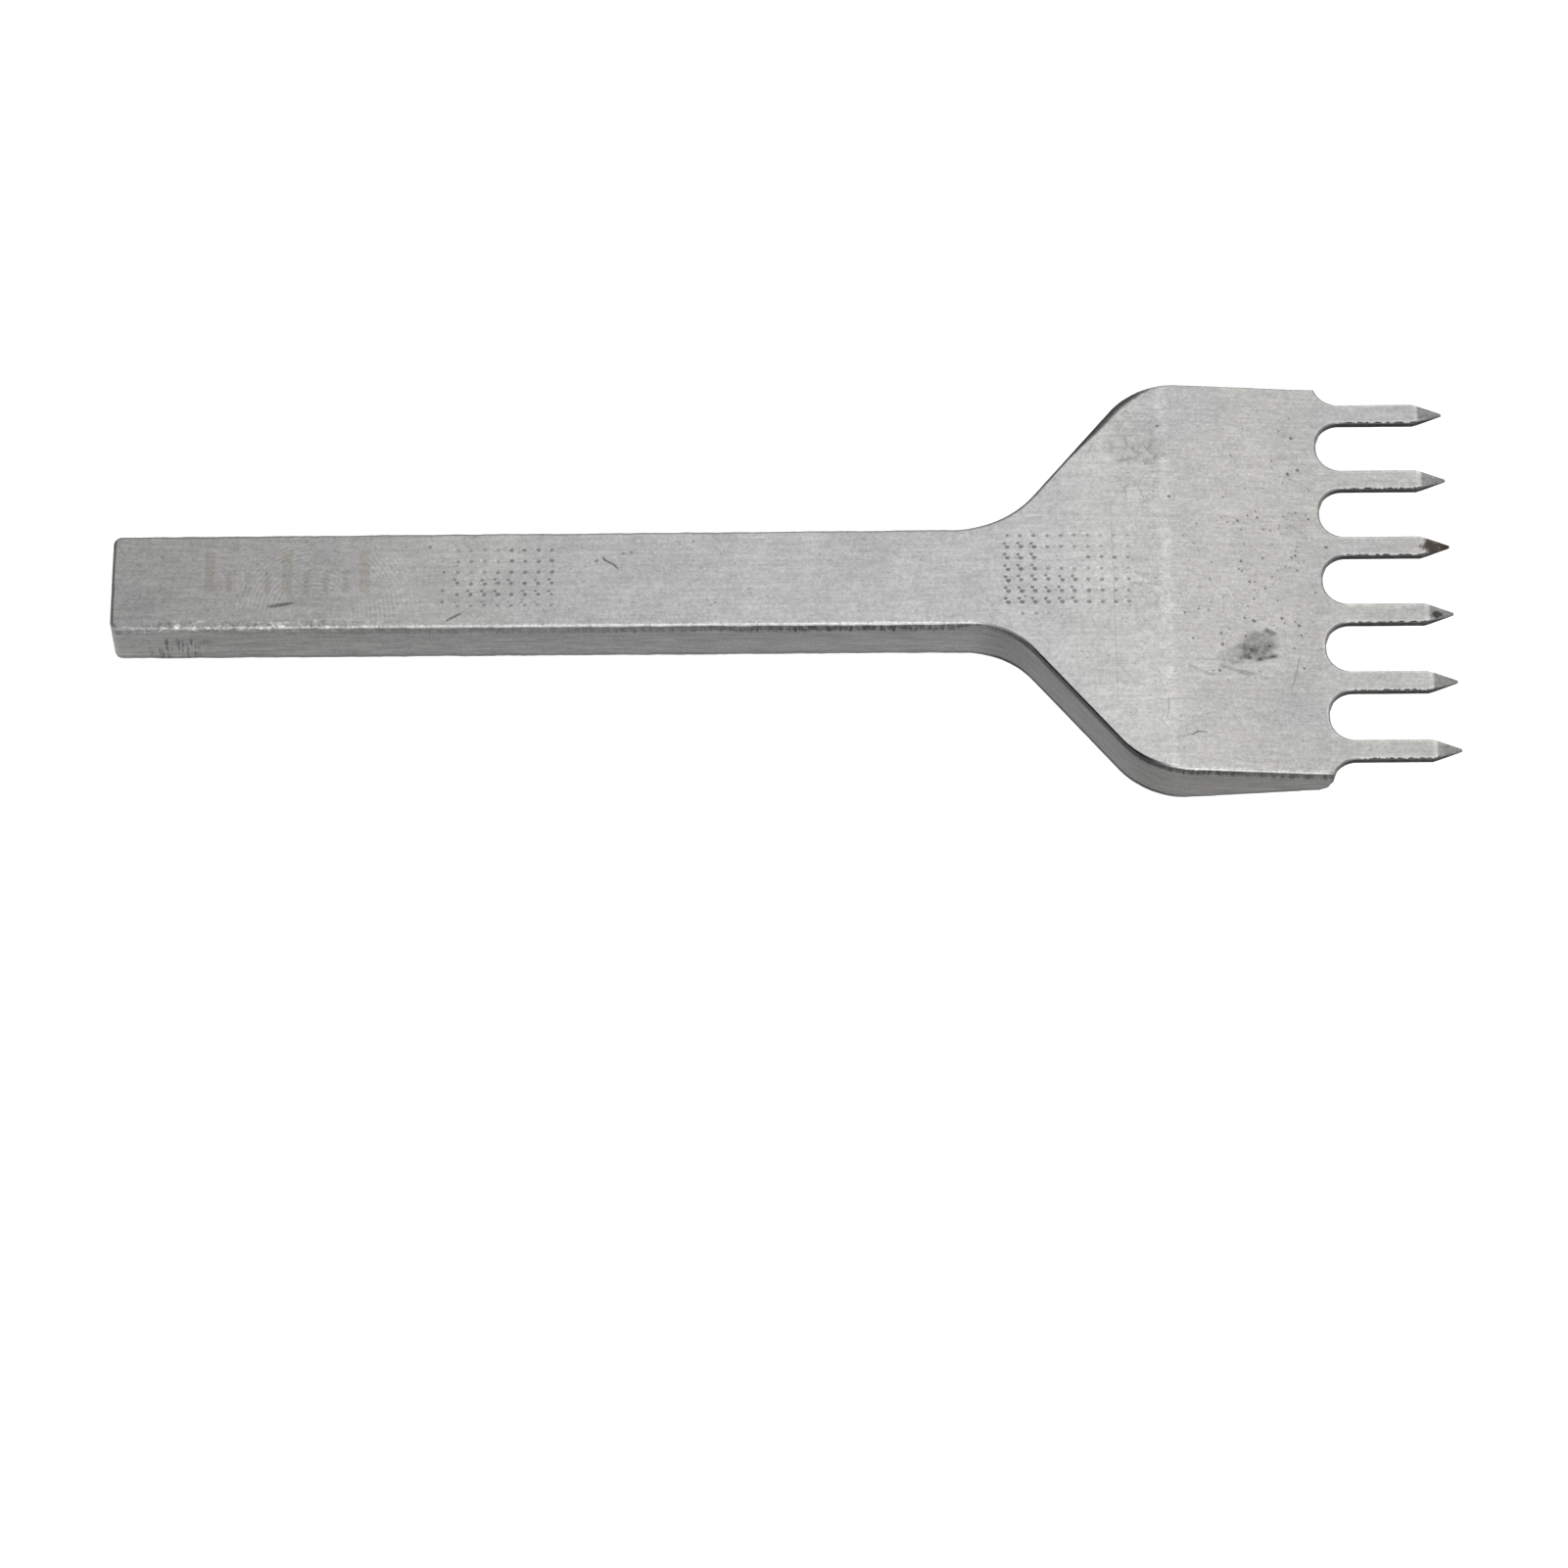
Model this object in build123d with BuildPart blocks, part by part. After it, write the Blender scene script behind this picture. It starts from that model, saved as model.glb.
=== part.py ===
from build123d import *
import os
from math import radians, tan

# A six-tooth leather pricking iron, lying on its back: +X runs from the struck end to the
# points, +Y across the row of teeth, +Z up.  The origin is the centre of the ground it lies on.
# The real tool is one bar of steel.  Its working regions are made here as separate solids that
# meet face to face: the shank, the flared shoulder, the ground blade, and six teeth.

# ---- Driving dimensions, in millimetres and degrees ----

OVERALL_LENGTH = 103.8
STOCK_THICKNESS = 5.0

SHANK_LENGTH = 63.8       # straight bar, up to just before the hollow curves
SHANK_WIDTH = 8.4
FLARE_START = 69.1        # from the struck end to where the sides turn outwards
FLARE_ANGLE = 51.0        # between a flared side and the tool's axis
FLARE_INNER_RADIUS = 8.0  # hollow curve from the shank into the flare
FLARE_OUTER_RADIUS = 7.0  # round corner from the flare to the blade's side
EDGE_RADIUS = 0.4         # long edges of the bar
END_CHAMFER = 0.35        # broken edge round the struck end

TOOTH_COUNT = 6
TOOTH_PITCH = 6.0
TOOTH_WIDTH = 1.7
TOOTH_THICKNESS = 0.7
TOOTH_LENGTH = 10.0       # from the floor of a gullet to the tip
TOOTH_TOP = 3.9           # height of the teeth's upper face
SIDE_TAPER = 2.3          # length over which a point narrows, seen from above
FACE_TAPER = 1.9          # length over which a point thins, seen from the side
TIP_SIZE = 0.2            # flat left on the very end of a point

GULLET_RADIUS = 1.9       # corner radius of the rounded gaps between teeth
END_MARGIN = 1.45         # blade that stands outside the outer teeth
BLADE_LENGTH = 12.0       # from the ridge, where the grinding starts, to the gullet floors
BLADE_END_BACK = 1.1      # height of the back face where its lower edge is broken
BREAK_START = 0.9         # from the start of that broken edge to the gullet floors
BREAK_RISE = 0.4          # height of the broken edge
STEP_START = 0.25         # from the step up to the teeth's thin back face to the gullet floors
STEP_END = 0.3            # from the gullet floors to the end of the step

# ---- Places worked out from them ----

butt_x = -OVERALL_LENGTH / 2
tip_x = OVERALL_LENGTH / 2
gullet_x = tip_x - TOOTH_LENGTH
root_x = gullet_x + GULLET_RADIUS
ridge_x = gullet_x - BLADE_LENGTH

row_width = (TOOTH_COUNT - 1) * TOOTH_PITCH
head_width = row_width + TOOTH_WIDTH + 2 * END_MARGIN
gap_width = TOOTH_PITCH - TOOTH_WIDTH
tooth_back = TOOTH_TOP - TOOTH_THICKNESS
back_slope = BLADE_END_BACK / (BLADE_LENGTH - BREAK_START)

flare_x = butt_x + FLARE_START
flare_end_x = flare_x + (head_width - SHANK_WIDTH) / 2 / tan(radians(FLARE_ANGLE))
shank_end_x = butt_x + SHANK_LENGTH

# ---- Shank: the straight bar that is held and struck ----

with BuildPart() as shank:
    with BuildSketch(Plane.YZ.offset(butt_x)):
        with Locations((0, STOCK_THICKNESS / 2)):
            RectangleRounded(SHANK_WIDTH, STOCK_THICKNESS, EDGE_RADIUS)
    extrude(amount=shank_end_x - butt_x)
    chamfer(shank.faces().sort_by(Axis.X)[0].edges(), END_CHAMFER)

# ---- Head: the plan outline that the shoulder and the blade share, without its gullets ----

with BuildSketch() as head_outline:
    with BuildLine():
        side = FilletPolyline(
            (shank_end_x, SHANK_WIDTH / 2),
            (flare_x, SHANK_WIDTH / 2),
            (flare_end_x, head_width / 2),
            (root_x, head_width / 2),
            radius=[FLARE_INNER_RADIUS, FLARE_OUTER_RADIUS],
        )
        Polyline(side @ 1, (root_x, 0), (shank_end_x, 0), side @ 0)
    make_face()
    mirror(about=Plane.XZ)


def along_the_sides(edges):
    """The edges that run along the head's two sides, on its front and its back."""
    outer = edges.filter_by(lambda edge: abs(edge.center().Y) > SHANK_WIDTH / 2 - 0.01)
    return outer.filter_by(Axis.Z, reverse=True)


# ---- Shoulder: the flare between the shank and the ridge ----

with BuildPart() as shoulder:
    add(head_outline.sketch)
    extrude(amount=STOCK_THICKNESS)
    fillet(along_the_sides(shoulder.edges()), EDGE_RADIUS)
    split(bisect_by=Plane.YZ.offset(ridge_x), keep=Keep.BOTTOM)

# ---- Blade: both faces ground down from the ridge, the back stepped up to the thin teeth ----

with BuildPart() as blade:
    add(head_outline.sketch)
    extrude(amount=STOCK_THICKNESS)
    with BuildSketch(Plane.XZ):
        with BuildLine():
            Polyline(
                (ridge_x, 0),
                (root_x, (root_x - ridge_x) * back_slope),
                (root_x, TOOTH_TOP),
                (gullet_x, TOOTH_TOP),
                (ridge_x, STOCK_THICKNESS),
                close=True,
            )
        make_face()
    extrude(amount=head_width, both=True, mode=Mode.INTERSECT)
    fillet(along_the_sides(blade.edges()), EDGE_RADIUS)

    # The back, with its lower edge broken, is stepped up to the teeth's thin back face.
    with BuildSketch(Plane.XZ):
        with BuildLine():
            Polyline(
                (gullet_x - BREAK_START, -STOCK_THICKNESS),
                (gullet_x - BREAK_START, BLADE_END_BACK),
                (gullet_x - STEP_START, BLADE_END_BACK + BREAK_RISE),
                (gullet_x + STEP_END, tooth_back),
                (tip_x, tooth_back),
                (tip_x, -STOCK_THICKNESS),
                close=True,
            )
        make_face()
    extrude(amount=head_width, both=True, mode=Mode.SUBTRACT)

    # The gaps between teeth, and one at each end of the row that cuts the blade's corner away.
    with BuildSketch():
        with Locations((tip_x, 0)):
            with GridLocations(0, TOOTH_PITCH, 1, TOOTH_COUNT + 1):
                RectangleRounded(2 * TOOTH_LENGTH, gap_width, GULLET_RADIUS)
    extrude(amount=STOCK_THICKNESS, mode=Mode.SUBTRACT)

# ---- Teeth: slim prongs, each ending in a four-sided point ----


def pointed_outline(half_thickness, taper):
    """Outline, along local X, of a prong that narrows to its tip over the taper's length."""
    with BuildSketch() as outline:
        with BuildLine():
            Polyline(
                (root_x, half_thickness),
                (tip_x - taper, half_thickness),
                (tip_x, TIP_SIZE / 2),
                (tip_x, -TIP_SIZE / 2),
                (tip_x - taper, -half_thickness),
                (root_x, -half_thickness),
                close=True,
            )
        make_face()
    return outline.sketch


def make_tooth(y):
    """One tooth at distance y across the row: its plan and its side view, intersected."""
    middle = TOOTH_TOP - TOOTH_THICKNESS / 2
    with BuildPart() as tooth:
        with BuildSketch(Plane.XY.offset(middle)):
            with Locations((0, y)):
                add(pointed_outline(TOOTH_WIDTH / 2, SIDE_TAPER))
        extrude(amount=TOOTH_THICKNESS / 2, both=True)
        with BuildSketch(Plane.XZ.offset(-y)):
            with Locations((0, middle)):
                add(pointed_outline(TOOTH_THICKNESS / 2, FACE_TAPER))
        extrude(amount=TOOTH_WIDTH / 2, both=True, mode=Mode.INTERSECT)
    return tooth.part


teeth = []
for index in range(TOOTH_COUNT):
    tooth = make_tooth(row_width / 2 - index * TOOTH_PITCH)
    tooth.label = f"tooth_{index + 1}"
    teeth.append(tooth)

# ---- Labels and files ----

shank.part.label = "shank"
shoulder.part.label = "shoulder"
blade.part.label = "blade"

os.makedirs("parts", exist_ok=True)
for piece in [shank.part, shoulder.part, blade.part, *teeth]:
    export_step(piece, f"parts/{piece.label}.step")
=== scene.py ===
import math

import bpy
import numpy as np
from mathutils import Matrix, Vector
from mathutils.geometry import delaunay_2d_cdt
from mathutils.kdtree import KDTree


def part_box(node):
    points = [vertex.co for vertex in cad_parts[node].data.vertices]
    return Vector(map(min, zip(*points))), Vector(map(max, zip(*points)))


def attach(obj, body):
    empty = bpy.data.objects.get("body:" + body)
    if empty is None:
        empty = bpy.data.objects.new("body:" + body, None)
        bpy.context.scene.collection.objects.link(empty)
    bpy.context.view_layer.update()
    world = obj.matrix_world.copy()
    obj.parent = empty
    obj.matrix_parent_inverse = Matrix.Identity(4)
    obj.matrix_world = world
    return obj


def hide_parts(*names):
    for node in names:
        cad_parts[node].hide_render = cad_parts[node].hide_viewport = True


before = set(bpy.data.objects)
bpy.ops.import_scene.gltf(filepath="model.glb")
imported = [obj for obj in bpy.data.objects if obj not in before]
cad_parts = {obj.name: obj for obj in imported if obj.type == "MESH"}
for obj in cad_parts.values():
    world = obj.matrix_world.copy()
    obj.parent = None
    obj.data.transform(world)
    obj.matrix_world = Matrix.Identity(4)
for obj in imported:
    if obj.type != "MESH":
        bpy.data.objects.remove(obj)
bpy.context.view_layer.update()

# A six-tooth pricking iron lying on its back: +X towards the points, +Y across the row, +Z up.
# The whole skin of the tool is made once, in millimetres, and then cut at the CAD nodes' planes,
# so that the pieces meet without a seam.  Nothing here is random from run to run.

rng = np.random.default_rng(61)

# ---- Places read from the frame, in millimetres ----

MM = 0.001
TOOTH_COUNT = 6


def corners_in_mm(node):
    """Lowest and highest corner of a CAD node."""
    low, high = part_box(node)
    return np.array(low) / MM, np.array(high) / MM


shank_low, shank_high = corners_in_mm("shank")
_, shoulder_high = corners_in_mm("shoulder")
_, blade_high = corners_in_mm("blade")
tooth_low, tooth_high = corners_in_mm("tooth_1")

butt_x = shank_low[0]
shank_end_x = shank_high[0]
ridge_x = shoulder_high[0]
root_x = blade_high[0]
tip_x = tooth_high[0]
shank_half = shank_high[1]
head_half = blade_high[1]
thickness = shank_high[2]
tooth_top = tooth_high[2]
tooth_back = tooth_low[2]
tooth_half = (tooth_high[1] - tooth_low[1]) / 2
tooth_rows = [float(sum(corners_in_mm(f"tooth_{n + 1}"))[1]) / 2 for n in range(TOOTH_COUNT)]
pitch = tooth_rows[0] - tooth_rows[1]

# ---- The rest of the tool's shape, as in the CAD model ----

FLARE_TURN = 69.1  # from the struck end
FLARE_ANGLE = math.radians(51.0)
INNER_RADIUS = 8.0
OUTER_RADIUS = 7.0
GULLET_RADIUS = 1.9
SIDE_TAPER = 2.3
FACE_TAPER = 1.9
TIP_HALF = 0.1
BLADE_END_BACK = 1.1
BREAK_START = 0.9
BREAK_RISE = 0.4
STEP_START = 0.25
STEP_END = 0.3

gullet_x = root_x - GULLET_RADIUS
facet_x = tip_x - FACE_TAPER
facet_half = TIP_HALF + (tooth_half - TIP_HALF) * FACE_TAPER / SIDE_TAPER
point_slope = ((tooth_top - tooth_back) / 2 - TIP_HALF) / FACE_TAPER
flare_x = butt_x + FLARE_TURN
hollow_x = flare_x - INNER_RADIUS * math.tan(FLARE_ANGLE / 2)
flare_end_x = flare_x + (head_half - shank_half) / math.tan(FLARE_ANGLE)

# ---- Finer shape that only the looks need ----

BUTT_LESS = 0.08      # the shank's half width narrows by this much at the struck end
NEAR_SIDE_LESS = 0.2  # the -Y side of the head was ground down this much further,
NEAR_INNER_RADIUS = 6.5  # and its hollow is tighter
BUTT_CORNER = 0.7     # plan radius of the struck end's corners
SHANK_EDGE = 0.3      # rounded edges, radius
FLARE_EDGE = 0.14
BLADE_EDGE = 0.2
TOOTH_EDGE = 0.06
SKIN = 0.012          # the faces lie this far inside the CAD ones, to leave room for raised rims
RIDGE_SOFTNESS = 0.5
OUTLINE_STEP = 0.17
CORNER_STEP = 0.09
GRID_STEP = 0.62
CREASE_STEP = 0.45
FEATURE_GAP = 0.16    # the grid keeps this far from marks and creases, and
LOOP_GAP = 0.13       # this far from the outline
NORMAL_INSET = 0.12   # share of the way from a triangle's corner to its middle
CREASE_ANGLE = math.radians(12.0)

# ---- Plan outline, clockwise seen from above ----


def line(start, end, step=OUTLINE_STEP):
    """Points from start to end, the end left out."""
    start, end = np.array(start, float), np.array(end, float)
    count = max(1, math.ceil(np.linalg.norm(end - start) / step))
    return [start + (end - start) * index / count for index in range(count)]


def arc(centre, radius, start, end, step=OUTLINE_STEP):
    """Points round a centre between two angles, the end left out."""
    count = max(1, math.ceil(radius * abs(end - start) / step))
    angles = [start + (end - start) * index / count for index in range(count)]
    return [np.array(centre) + radius * np.array((math.cos(a), math.sin(a))) for a in angles]


def tooth_outline(y):
    """Round one tooth, from its root on the +Y side to its root on the -Y side."""
    stations = [
        (root_x, tooth_half),
        (tip_x - SIDE_TAPER, tooth_half),
        (facet_x, facet_half),
        (tip_x, TIP_HALF),
    ]
    stations += [(x, -half) for x, half in reversed(stations)]
    points = []
    for (x, half), (next_x, next_half) in zip(stations, stations[1:]):
        points += line((x, y + half), (next_x, y + next_half))
    return points


def gullet_side(y, start, end):
    """A quarter of a gullet's rounded floor, with its centre on the plane of the tooth roots."""
    return arc((root_x, y), GULLET_RADIUS, start, end)


def half_outline(half_width, flare_start_x, inner_radius):
    """The outline on the +Y side, from the middle of the struck end to the middle gullet."""
    bend = math.tan(FLARE_ANGLE / 2)
    hollow_start = flare_start_x - inner_radius * bend
    side_start = flare_start_x + (half_width - shank_half) / math.tan(FLARE_ANGLE) + OUTER_RADIUS * bend
    butt_half = shank_half - BUTT_LESS
    corner = (butt_x + BUTT_CORNER, butt_half - BUTT_CORNER)
    hollow = (hollow_start, shank_half + inner_radius)
    shoulder = (side_start, half_width - OUTER_RADIUS)
    across, along = math.sin(FLARE_ANGLE), 1 - math.cos(FLARE_ANGLE)
    flare_start = (hollow_start + inner_radius * across, shank_half + inner_radius * along)
    flare_end = (side_start - OUTER_RADIUS * across, half_width - OUTER_RADIUS * along)
    ridge_angle = math.acos((ridge_x - side_start) / OUTER_RADIUS)
    end_gullet_y = tooth_rows[0] + tooth_half + GULLET_RADIUS
    end_angle = math.pi + math.asin((end_gullet_y - half_width) / GULLET_RADIUS)
    side_end_x = root_x + GULLET_RADIUS * math.cos(end_angle)

    points = line((butt_x, 0), (butt_x, corner[1]))
    points += arc(corner, BUTT_CORNER, math.pi, math.pi / 2, CORNER_STEP)
    points += line((corner[0], butt_half), (shank_end_x, shank_half))
    points += line((shank_end_x, shank_half), (hollow_start, shank_half))
    points += arc(hollow, inner_radius, -math.pi / 2, FLARE_ANGLE - math.pi / 2)
    points += line(flare_start, flare_end)
    points += arc(shoulder, OUTER_RADIUS, math.pi / 2 + FLARE_ANGLE, ridge_angle)
    points += arc(shoulder, OUTER_RADIUS, ridge_angle, math.pi / 2)
    points += line((side_start, half_width), (side_end_x, half_width))
    points += gullet_side(end_gullet_y, end_angle, 1.5 * math.pi)
    for y in tooth_rows[: TOOTH_COUNT // 2]:
        floor_start = y - tooth_half - GULLET_RADIUS
        floor_end = y - pitch + tooth_half + GULLET_RADIUS
        points += tooth_outline(y)
        points += gullet_side(floor_start, math.pi / 2, math.pi)
        if y - pitch > 0:
            points += line((gullet_x, floor_start), (gullet_x, floor_end))
            points += gullet_side(floor_end, math.pi, 1.5 * math.pi)
        else:
            points += line((gullet_x, floor_start), (gullet_x, 0))
    return points


def whole_outline():
    """The closed outline: the +Y half, the middle gullet's floor, and the slightly narrower -Y half."""
    half = half_outline(head_half, flare_x, INNER_RADIUS)
    other = half_outline(head_half - NEAR_SIDE_LESS, flare_x + NEAR_SIDE_LESS, NEAR_INNER_RADIUS)
    lower = [point * (1, -1) for point in reversed(other[1:])]
    return np.array(half + [np.array((gullet_x, 0.0))] + lower)


def left_of(steps):
    """Unit vectors to the left of the given steps."""
    turned = np.stack((-steps[:, 1], steps[:, 0]), 1)
    return turned / np.linalg.norm(turned, axis=1, keepdims=True)


def ripple(length, wavelength):
    """Smooth random numbers from 0 to 1 round a closed outline, one for each length along it."""
    count = max(4, round(length[-1] / wavelength))
    knots = rng.random(count)
    place = length / (length[-1] + OUTLINE_STEP) * count
    index = np.floor(place).astype(int)
    blend = place - index
    blend = blend * blend * (3 - 2 * blend)
    return knots[index % count] * (1 - blend) + knots[(index + 1) % count] * blend


outline = whole_outline()
steps_before = outline - np.roll(outline, 1, axis=0)
steps_after = np.roll(outline, -1, axis=0) - outline
outward_before, outward_after = left_of(steps_before), left_of(steps_after)
outward = outward_before + outward_after
outward /= np.linalg.norm(outward, axis=1, keepdims=True)
mitre = outward / np.sum(outward * outward_after, axis=1, keepdims=True)
is_corner = np.sum(outward_before * outward_after, axis=1) < math.cos(CREASE_ANGLE)
run_length = np.cumsum(np.linalg.norm(steps_before, axis=1))

# ---- Heights of the two faces ----


def soft_min(a, b, softness):
    """The lower of a and b, rounded where they cross."""
    return (a + b - np.sqrt((a - b) ** 2 + softness**2)) / 2


def top_face(x):
    """Height of the front face along the tool: flat, ground down past the ridge, then the points."""
    slope = (thickness - tooth_top) / (gullet_x - ridge_x)
    wedge = thickness - (x - ridge_x) * slope
    height = soft_min(thickness - SKIN, np.maximum(wedge, tooth_top) - SKIN, RIDGE_SOFTNESS * slope)
    return height - np.maximum(x - facet_x, 0) * point_slope


def back_face(x):
    """Height of the back: flat, the long wedge, its broken end, the step at the roots, the points."""
    wedge = np.maximum(x - ridge_x, 0) * BLADE_END_BACK / (gullet_x - BREAK_START - ridge_x)
    break_slope = BREAK_RISE / (BREAK_START - STEP_START)
    broken = BLADE_END_BACK + (x - gullet_x + BREAK_START) * break_slope
    step_foot = BLADE_END_BACK + BREAK_RISE
    step_slope = (tooth_back - step_foot) / (STEP_START + STEP_END)
    step = step_foot + (x - gullet_x + STEP_START) * step_slope
    height = np.minimum(np.maximum(np.maximum(wedge, broken), step), tooth_back)
    return height + np.maximum(x - facet_x, 0) * point_slope


# ---- Marks pressed and scratched into the front face ----


def from_butt(x):
    """The place of a mark measured from the struck end."""
    return butt_x + x


class Dents:
    """Round dents with a little raised rim: where they are, how wide and how deep."""

    def __init__(self):
        self.places, self.widths, self.depths = [], [], []

    def add(self, x, y, width, depth):
        self.places.append((x, y))
        self.widths.append(width)
        self.depths.append(depth)

    def height(self, x, y):
        total = np.zeros_like(x)
        for (dent_x, dent_y), width, depth in zip(self.places, self.widths, self.depths):
            near = np.nonzero((np.abs(x - dent_x) < 3 * width) & (np.abs(y - dent_y) < 3 * width))
            square = ((x[near] - dent_x) ** 2 + (y[near] - dent_y) ** 2) / width**2
            total[near] += -depth * np.exp(-3.0 * square) + 0.16 * depth * np.exp(-2.2 * (square - 1) ** 2)
        return total

    def mesh_points(self):
        """A centre and three rings of points for each dent."""
        points = []
        for (x, y), width in zip(self.places, self.widths):
            points.append((x, y))
            for share, count in ((0.45, 6), (0.85, 8), (1.3, 8)):
                for angle in np.arange(count) * math.tau / count + share:
                    points.append((x + share * width * math.cos(angle), y + share * width * math.sin(angle)))
        return points


class Grooves:
    """Scratches and gouges: a line of points, its width and its depth, deepest at the middle."""

    def __init__(self):
        self.lines = []

    def add(self, points, width, depth):
        self.lines.append((np.array(points, float), width, depth))

    def height(self, x, y):
        total = np.zeros_like(x)
        for points, width, depth in self.lines:
            near = np.ones_like(x)
            fullness = np.zeros_like(x)
            count = len(points) - 1
            for index in range(count):
                start, step = points[index], points[index + 1] - points[index]
                along = ((x - start[0]) * step[0] + (y - start[1]) * step[1]) / (step @ step)
                along = np.clip(along, 0, 1)
                away = np.hypot(x - start[0] - along * step[0], y - start[1] - along * step[1])
                closer = away < near
                near = np.where(closer, away, near)
                fullness = np.where(closer, (index + along) / count, fullness)
            taper = np.sqrt(np.clip(np.sin(math.pi * fullness), 0, 1))
            shape = np.clip(1 - near / (width / 2), 0, 1)
            total -= depth * taper * shape
        return total

    def mesh_points(self):
        """Points along the middle and both sides of every groove."""
        found = []
        for points, width, _ in self.lines:
            for start, end in zip(points, points[1:]):
                along = (end - start) / np.linalg.norm(end - start)
                side = np.array((-along[1], along[0])) * width
                for middle in line(start, end, 0.12) + [end]:
                    found += [tuple(middle + side * share) for share in (-0.55, -0.25, 0, 0.25, 0.55)]
        return found


DOT_DEPTH = 0.05
DOT_JITTER = 0.02
# A dot, its burr, and the second mark of a doubled one: offset from the dot, width, share of depth.
DOT_PARTS = ((0.0, 0.0, 0.24, 1.0), (-0.3, 0.1, 0.14, -0.5), (-0.22, 0.32, 0.2, 0.8))


def pressed_grid(dents, first_x, columns, column_step, first_y, rows, row_step, strength, double):
    """A grid of small pressed dots; strength says how deep each is, and double whether it is doubled."""
    for column in range(columns):
        for row in range(rows):
            depth = DOT_DEPTH * strength(column, row)
            x = from_butt(first_x + column * column_step) + rng.normal(0, DOT_JITTER)
            y = first_y - row * row_step + rng.normal(0, DOT_JITTER)
            if depth <= 0:
                continue
            for away_x, away_y, width, share in DOT_PARTS[: 3 if double(column, row) else 2]:
                dents.add(x + away_x, y + away_y, width, share * depth)


def shank_dot_strength(column, row):
    faint = 0.6 if row == 5 or column < 4 and row < 3 else 0.85
    return faint * (0.8 + 0.25 * rng.random())


def shoulder_dot_strength(column, row):
    fading = (1.3 - 0.06 * column) * (0.8 + 0.3 * rng.random())
    if row == 7:
        return 0.5 * fading if 0 < column < 4 else 0.0
    if row == 2 and 2 < column < 6:
        return 0.0
    return 0.7 * fading if row == 0 or (row in (1, 3) and column > 2) else fading


# Single dents: depth, and places measured from the struck end.
LONE_DENTS = [
    (0.035, ((25.7, 0.65), (25.6, -1.0), (25.6, -2.0), (37.5, 1.55), (39.6, 2.2), (40.2, 2.3), (24.6, 2.9))),
    (0.045, ((90.5, -3.6), (88.3, -3.9), (91.8, -4.2), (85.5, -8.4), (85.8, -6.1))),
    (0.05, ((91.9, 12.7), (92.3, 9.8), (91.5, 9.4), (81.4, 13.4), (82.1, 7.0), (87.4, 5.0), (94.2, 2.9))),
]

# Gouges: points measured from the struck end, width and depth.
GOUGES = [
    (((12.1, -2.3), (13.1, -2.15), (14.2, -1.95)), 0.36, 0.06),
    (((25.8, -3.75), (27.2, -2.95)), 0.24, 0.05),
    (((37.9, 2.0), (38.2, 1.6), (38.8, 1.25), (39.3, 0.7)), 0.2, 0.05),
    (((83.1, -14.15), (83.6, -13.8), (84.4, -13.9)), 0.13, 0.05),
]

dents = Dents()
pressed_grid(
    dents, 26.77, 8, 1.04, 2.58, 6, 0.985, shank_dot_strength,
    lambda column, row: row > 2 and (column + row) % 4 > 0,
)
pressed_grid(
    dents, 69.38, 10, 1.038, 3.53, 8, 0.99, shoulder_dot_strength,
    lambda column, row: 0 < row < 7 and column < (3 if row < 4 else 6),
)
for depth, places in LONE_DENTS:
    for x, y in places:
        dents.add(from_butt(x), y, 0.2, depth)
for _ in range(95):  # pits left in the ground blade
    x = from_butt(90.0 + rng.normal(0, 3.0))
    y = rng.normal(1.0, 5.0)
    if ridge_x < x < gullet_x - 0.5 and abs(y) < head_half - 1:
        dents.add(x, y, 0.09 + 0.08 * rng.random(), 0.016 + 0.034 * rng.random())
for _ in range(60):  # a few on the rest of the front
    x = from_butt(3.0 + 84.0 * rng.random())
    y = (2 * rng.random() - 1) * (shank_half - 0.6)
    dents.add(x, y, 0.08 + 0.06 * rng.random(), 0.012 + 0.02 * rng.random())

grooves = Grooves()
for points, width, depth in GOUGES:
    grooves.add([(from_butt(x), y) for x, y in points], width, depth)


# ---- Broad unevenness of the hand-finished faces ----

WAVES = [
    (angle, math.tau / wavelength, phase)
    for angle, wavelength, phase in zip(
        rng.random(14) * math.pi, 2.5 + 7.0 * rng.random(14), rng.random(14) * math.tau
    )
]


def unevenness(x, y):
    """Shallow waves, from 0 to about -0.008 mm."""
    total = sum(np.sin((x * math.cos(a) + y * math.sin(a)) * k + phase) for a, k, phase in WAVES)
    return 0.0009 * (total - 5.0)


def front_height(x, y):
    return top_face(x) + unevenness(x, y) + dents.height(x, y) + grooves.height(x, y)


def back_height(x, y):
    return back_face(x) - unevenness(x + 40.0, y)


def face_normals(height, x, y, upward):
    """Normals of a face whose height is a function of the plan."""
    reach = 0.02
    slope_x = (height(x + reach, y) - height(x - reach, y)) / (2 * reach)
    slope_y = (height(x, y + reach) - height(x, y - reach)) / (2 * reach)
    normals = np.stack((-slope_x, -slope_y, np.ones_like(x)), 1) * upward
    return normals / np.linalg.norm(normals, axis=1, keepdims=True)


# ---- Rings round the outline, from the front face down to the back ----

ROUND_ANGLES = np.radians((0.0, 22.5, 45.0, 67.5, 90.0))
# Rings below the front's rounding: depth, largest share of the wall, and how strongly it is notched.
WALL_DEPTHS = ((0.12, 0.12, 0.6), (0.3, 0.28, 1.0), (0.5, 0.45, 0.8), (0.75, 0.62, 0.35), (1.05, 0.8, 0.0))
# Rings above the back's rounding: height and largest share of the wall.
WALL_FEET = ((0.7, 0.2), (0.3, 1 / 12))
BODY_NOTCH = 0.05     # deepest notches in the walls of the body, and of the teeth
TOOTH_NOTCH = 0.018


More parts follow.
